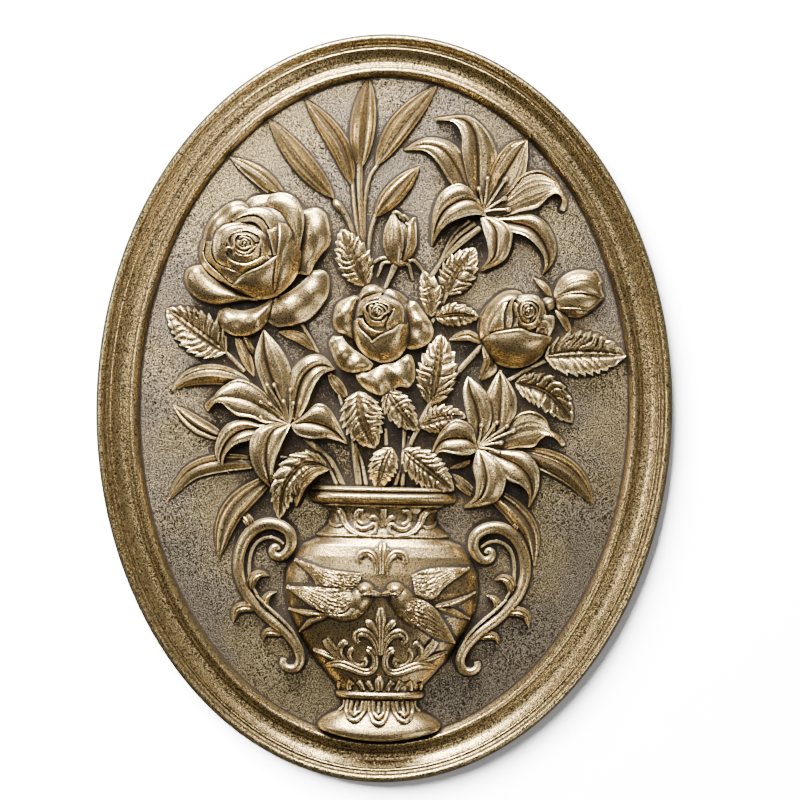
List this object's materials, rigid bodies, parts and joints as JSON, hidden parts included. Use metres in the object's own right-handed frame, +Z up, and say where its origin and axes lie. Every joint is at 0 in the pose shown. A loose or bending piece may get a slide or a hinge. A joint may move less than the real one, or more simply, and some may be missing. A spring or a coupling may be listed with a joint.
{
  "type": "oval wall plaque with floral urn relief",
  "caption": "Oval wall plaque in antique bronze finish, with a high relief of roses and lilies in a two-handled urn with two swallows inside a moulded frame.",
  "frame": {"origin": "middle of the oval on the flat back, where the plaque touches the wall", "axes": "+Y into the wall, +Z up, +X to the viewer's right; the relief faces -Y"},
  "size_m": [0.308, 0.034, 0.4],
  "materials": {
    "bronze_finish": "aged: golden brown on the high places, nearly black in the recesses, with fine dark speckle"
  },
  "bodies": {
    "root": {"plaque": "bronze_finish"}
  },
  "joints": []
}
